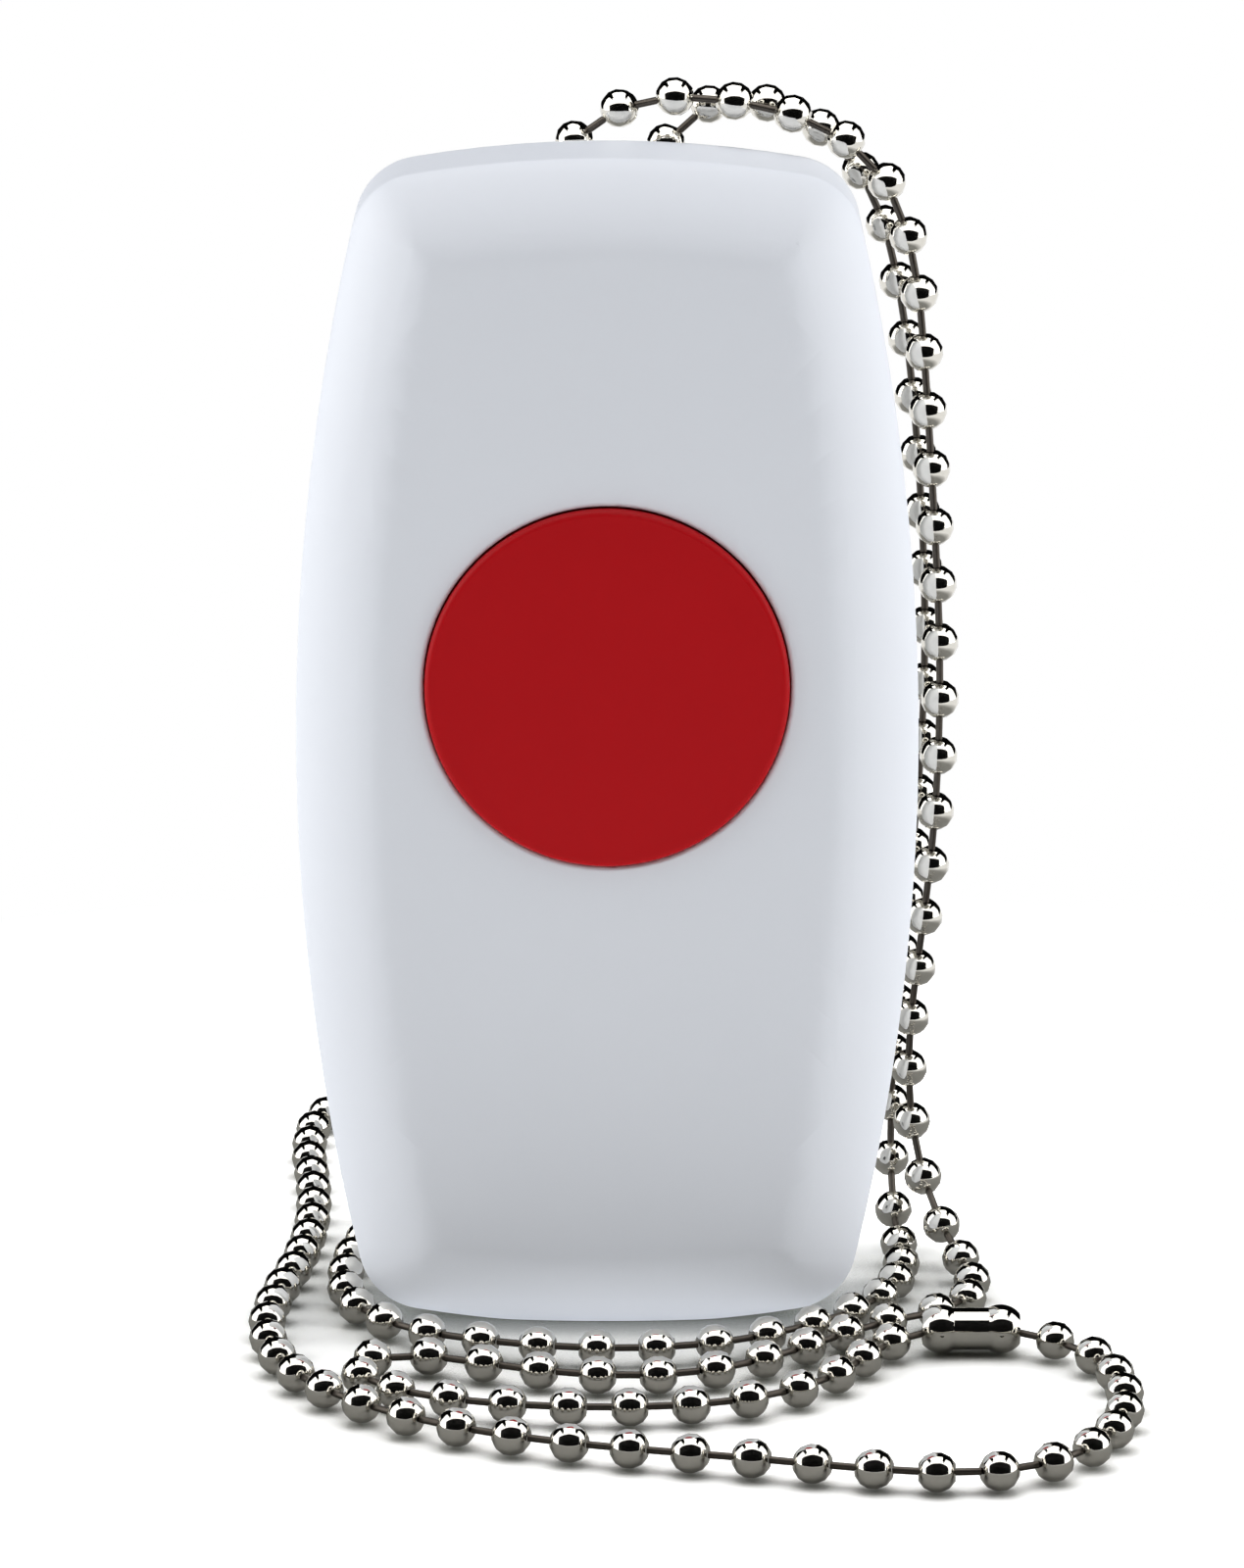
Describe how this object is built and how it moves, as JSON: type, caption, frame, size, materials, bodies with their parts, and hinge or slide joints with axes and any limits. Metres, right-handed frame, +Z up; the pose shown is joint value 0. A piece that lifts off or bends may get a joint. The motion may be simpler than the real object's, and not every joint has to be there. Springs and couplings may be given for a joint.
{
  "type": "wireless panic button",
  "caption": "Upright barrel-shaped pendant transmitter with a flat round push button, a recessed bar behind and a closed ball-chain neck cord.",
  "frame": {"origin": "on the floor under the middle of the housing", "axes": "+Z up along the housing, +Y back through it, -Y the side with the button, +X to the right of a viewer facing the button"},
  "size_m": [0.0542, 0.0853, 0.0764],
  "materials": {
    "housing_white": "fine moulded satin",
    "button_red": "satin moulded",
    "silicone_grey": "matt",
    "board_green": "solder resist",
    "black_plastic": "moulded",
    "spring_steel": "tinned",
    "cell_steel": "bright pressed",
    "ceramic_tan": "fired ceramic",
    "copper": "stamped",
    "screw_steel": "zinc plated",
    "bead_nickel": "nickel plated"
  },
  "bodies": {
    "housing": {"front_cover": "housing_white", "rear_cover": "housing_white", "housing_gasket": "silicone_grey", "button_seal": "silicone_grey", "circuit_board": "board_green", "switch_base": "black_plastic", "switch_frame": "spring_steel", "switch_legs": "spring_steel", "coin_cell": "cell_steel", "battery_holder": "black_plastic", "battery_contact_positive": "spring_steel", "battery_contact_negative": "spring_steel", "transmitter_chip": "black_plastic", "saw_resonator": "cell_steel", "chip_capacitors": "ceramic_tan", "chip_resistors": "black_plastic", "antenna_loop": "copper", "cover_screws": "screw_steel", "board_screws": "screw_steel", "chain_beads": "bead_nickel", "chain_links": "bead_nickel", "chain_connector": "bead_nickel"},
    "button": {"panic_button": "button_red", "switch_plunger": "black_plastic"}
  },
  "joints": [
    {"name": "button_press", "type": "slide", "parent": "housing", "child": "button", "axis": [0, 1, 0], "range_m": [0, 0.0006], "stiffness_N_per_m": 2500, "springref_m": -0.0002}
  ]
}
